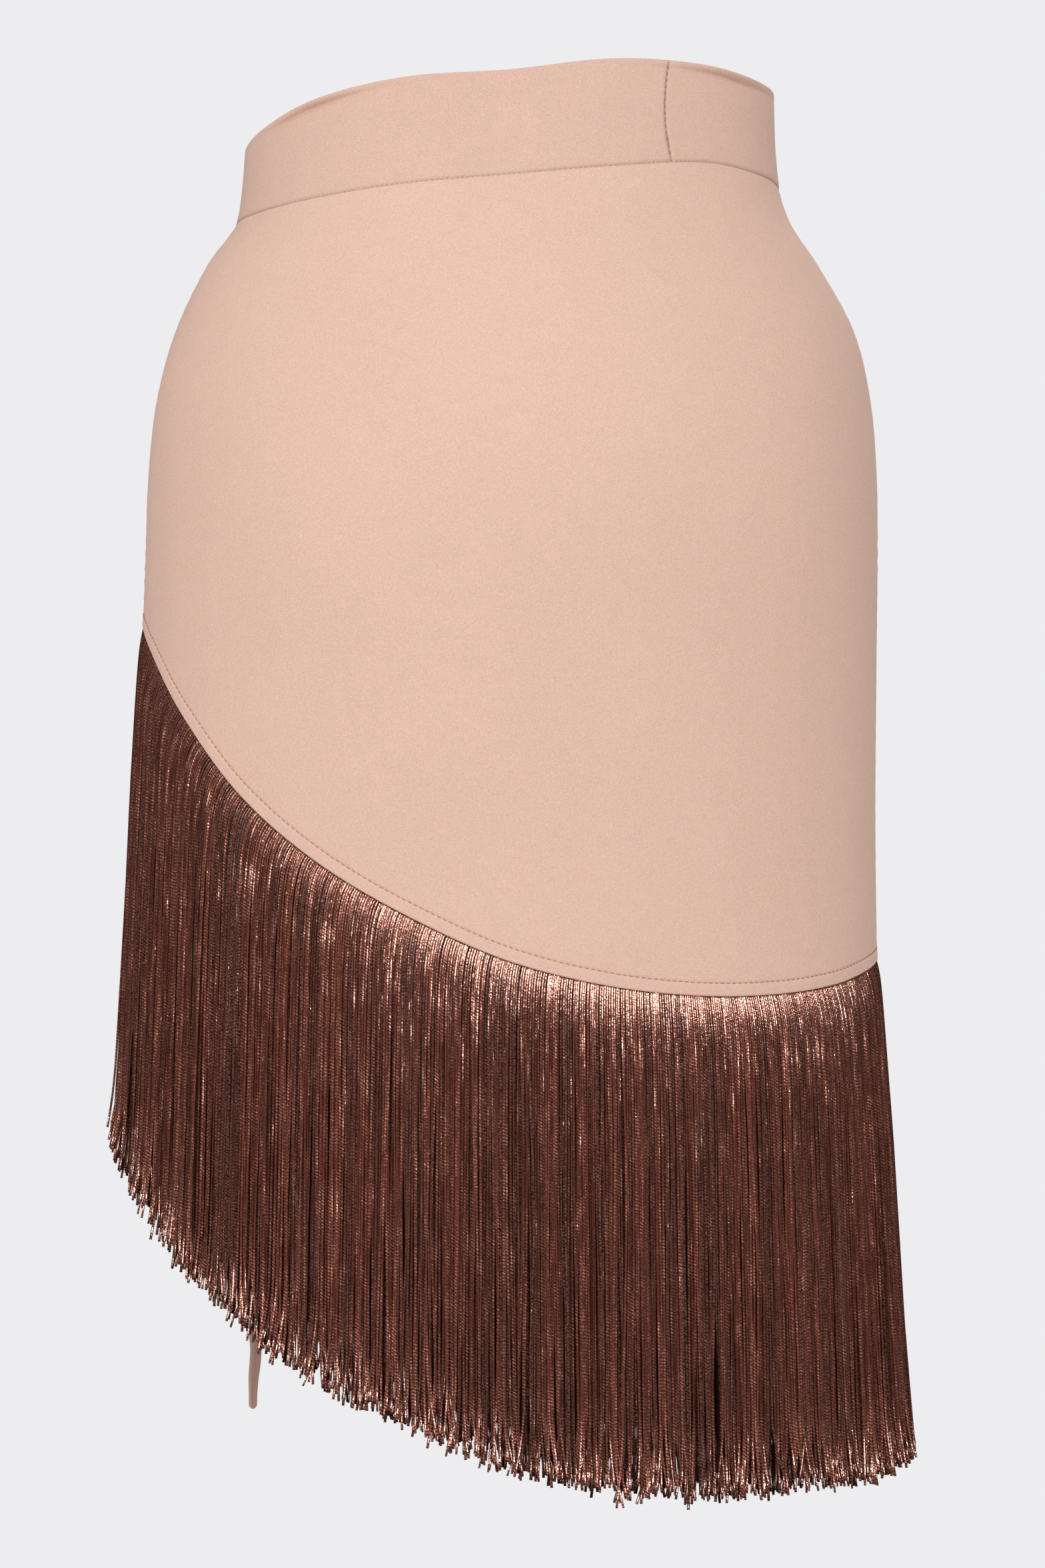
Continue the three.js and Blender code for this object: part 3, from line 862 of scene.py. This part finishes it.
def strand_paths(start, end, count, depth, loose, rings):
    """Middle lines of one layer of strands, depth back from the front layer, with what each one varies by."""
    edges = even_turns(start + FRINGE_GAP, end - FRINGE_GAP, count, FRINGE_LEVEL)
    turn = (edges[1:] + edges[:-1]) / 2
    turn = turn + rng.normal(0, 0.09, count) * (edges[1] - edges[0])

    # Directions at the hem: square to it, straight out, and sideways.
    edge_z = hem(turn)
    edge, out = skin(turn, edge_z), outward(turn, edge_z)
    before, after = turn - TURN_STEP, turn + TURN_STEP
    down = unit(np.cross(skin(after, hem(after)) - skin(before, hem(before)), out))
    level = unit(out * [1, 1, 0])
    side = np.cross(DOWN, level)

    # Lengths, and the locks that the strands fall into.
    slant = BEND * (1 + down[:, 2]) + ROOT * down[:, 2]
    length = side_column(HEM, "drop", turn) + slant + rng.normal(0, 1.5, count)
    length -= SHORTEST * rng.random(count) ** 7 + np.maximum(depth - 1, 0) * 2
    plan = np.cumsum(np.full(count, STRAND_WIDTH))
    lock = np.interp(plan, np.cumsum(rng.uniform(*LOCK_WIDTHS, count)), np.arange(count))
    lock_id = np.floor(lock).astype(int)
    lock_phase = lock - lock_id - 0.5
    locks = lock_id.max() + 2
    lock_out = rng.normal(0, 0.55, locks)[lock_id]
    uneven = 1.6 + 1.8 * np.exp(-np.minimum(turn, 360 - turn) / 35)
    length += rng.normal(0, 1.0, locks)[lock_id] * uneven
    s = length[:, None] * rings[None]
    square = BEND * (1 - np.exp(-s / BEND))
    settle = ease(s, 8, 90)
    tip = np.clip((s - length[:, None]) / FLICK + 1, 0, 1) ** 2

    # Sideways: together in locks, in slow waves, and apart near the tips.
    sway = -lock_phase[:, None] * (0.6 + 0.4 * ease(s, 60, 200)) * settle
    wave = rng.normal(0, 0.45, count)[:, None]
    sway += (wave * np.sin(s / rng.uniform(22, 50, count)[:, None])) * settle
    sway += rng.normal(0, loose, count)[:, None] * ease(s, 90, 238) * 2.2

    # Outwards: from behind the hem, leaning out on the way down, with strays and tips that turn.
    bulge = side_column(SWING, "bulge", turn)[:, None] - depth
    over = side_column(SWING, "over", turn)[:, None]
    lean = side_column(SWING, "lean", turn)[:, None]
    far = -1.1 - depth * 0.25 + bulge * (1 - np.exp(-s / over)) + lean * s
    far += (lock_out[:, None] + rng.normal(0, 0.36, count)[:, None]) * settle
    stray = rng.uniform(*STRAY_OUT, count) * (rng.random(count) < STRAY_SHARE)
    far += stray[:, None] * (s / 230) ** 2
    far += tip * (rng.uniform(*TIPS_OUT, count) * (1 - depth / 4))[:, None]
    sway += tip * rng.normal(0, 2.3, count)[:, None]

    lock_tone = rng.normal(0, 0.1, locks)[lock_id]
    centres = (
        edge[:, None]
        + down[:, None] * (ROOT - TUCKED + square)[..., None]
        + DOWN * (s - square)[..., None]
        + level[:, None] * far[..., None]
        + side[:, None] * sway[..., None]
    )
    return centres, level, s, lock_tone


def fringe_layers(name, start, end, layers, rings, width_mm, sides):
    """Several layers of strands as one piece."""
    width_round = lengths_along(skin(np.linspace(start, end, 400), FRINGE_LEVEL))[-1]
    made = []
    for depth, pitch, loose, dull, bright in layers:
        count = int(width_round / pitch)
        centres, level, s, lock_tone = strand_paths(start, end, count, depth, loose, rings)
        # Each strand's tone; the deeper layers' low tones are painted shade.
        tone = rng.uniform(dull, bright, len(centres)) + lock_tone * (bright - dull)
        made.append((centres, level, s, np.clip(tone, 0, 1)))
    centres, level, s, tones = (np.concatenate(parts) for parts in zip(*made))
    run = unit(np.gradient(centres, axis=1))
    out = np.broadcast_to(level[:, None], centres.shape)
    across = unit(np.cross(run, out))
    out = unit(np.cross(across, run))
    turned = rng.uniform(0, 2 * math.pi, len(centres))[:, None, None]
    first = across * np.cos(turned) + out * np.sin(turned)
    second = np.cross(first, run)
    radius = np.full(s.shape, width_mm / 2)
    piece = tubes(name, centres, first, second, radius, radius, sides, FRINGE)
    mark_strands(piece, s, tones, sides)
    return piece


# The skirt's pieces


waist = {
    "back": band("waistband_back_cloth", 0, JOIN_TURN, "waistband_back"),
    "front": band("waistband_front_cloth", JOIN_TURN, 360, "waistband_front"),
}
for side, (start, end) in {"back": (0, 180), "front": (180, 360)}.items():
    cloth = panel(f"skirt_{side}", start, end, f"{side}_panel")
    hung = [
        header(f"fringe_tape_{side}", start, end),
        fringe_layers(f"fringe_outer_{side}", start, end, OUTER_LAYERS, OUTER_RINGS, STRAND_WIDTH, 4),
        fringe_layers(f"fringe_inner_{side}", start, end, INNER_LAYERS, INNER_RINGS, INNER_WIDTH, 3),
    ]
    for piece in hung:
        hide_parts(f"fringe_{side}")
    hung.append(hem_stitches(f"hem_stitches_{side}", start, end))
    hung.append(seam_thread(f"seam_thread_{side}", start, end))
join_stitches()


# Floor and light


FLOOR_RADIUS, FLOOR_HEIGHT = 2.0, -1.04  # in metres
FILL = 0.78  # strength of the surround as fill light
GLOSS_FILL = 0.015  # strength of the surround in gloss
LIGHTS_AIM = (0, 0, -0.3)  # the middle of the skirt, in metres


def add_stage():
    """A round pale floor, below the view of the camera."""
    material, m = new_material("pale_floor")
    m.set(Base_Color=(0.8, 0.8, 0.81, 1), Roughness=0.8)
    mesh = bpy.data.meshes.new("floor")
    angles = np.arange(96) / 96 * 2 * math.pi
    corners = [(FLOOR_RADIUS * math.cos(a), FLOOR_RADIUS * math.sin(a), FLOOR_HEIGHT) for a in angles]
    mesh.from_pydata(corners, [], [tuple(range(len(corners)))])
    mesh.materials.append(material)
    floor = bpy.data.objects.new("floor", mesh)
    bpy.context.scene.collection.objects.link(floor)


def add_area(name, azimuth, elevation, distance, size, power):
    """A round soft light aimed at the middle. Azimuth 0 is on the camera's side, and 90 on the +X side."""
    data = bpy.data.lights.new(name, "AREA")
    data.shape = "DISK"
    data.size = size
    data.energy = power
    light = bpy.data.objects.new(name, data)
    a, e = math.radians(azimuth), math.radians(elevation)
    away = (math.sin(a) * math.cos(e), -math.cos(a) * math.cos(e), math.sin(e))
    light.location = [distance * d + m for d, m in zip(away, LIGHTS_AIM)]
    light.rotation_euler = (math.pi / 2 - e, 0, a)
    bpy.context.scene.collection.objects.link(light)
    return light


def add_surround():
    """A pale surround, dimmer as fill light than it looks and dimmer still in gloss."""
    world = bpy.data.worlds.new("world")
    world.use_nodes = True
    m = Nodes(world.node_tree, "Background")
    rays = m.add("LightPath").outputs
    dimmed = m.add("Mix", {"Factor": rays["Is Glossy Ray"], 2: FILL, 3: GLOSS_FILL}).outputs[0]
    strength = m.add("Mix", {"Factor": rays["Is Camera Ray"], 2: dimmed, 3: 1.0}).outputs[0]
    m.set(Color=(*srgb(237, 237, 239), 1), Strength=strength)
    bpy.context.scene.world = world


def add_light():
    """The surround and the soft lights, some for gloss alone."""
    add_surround()
    add_area("key", -9, 28, 3.0, 1.2, 47).visible_glossy = False
    add_area("gloss", 24, 43, 3.0, 1.7, 205).visible_diffuse = False
    add_area("gloss_left", -60, 43, 3.0, 1.4, 60).visible_diffuse = False
    add_area("rear", 160, 40, 3.2, 1.6, 26)
    bpy.context.scene.view_settings.view_transform = "Standard"


add_stage()
add_light()
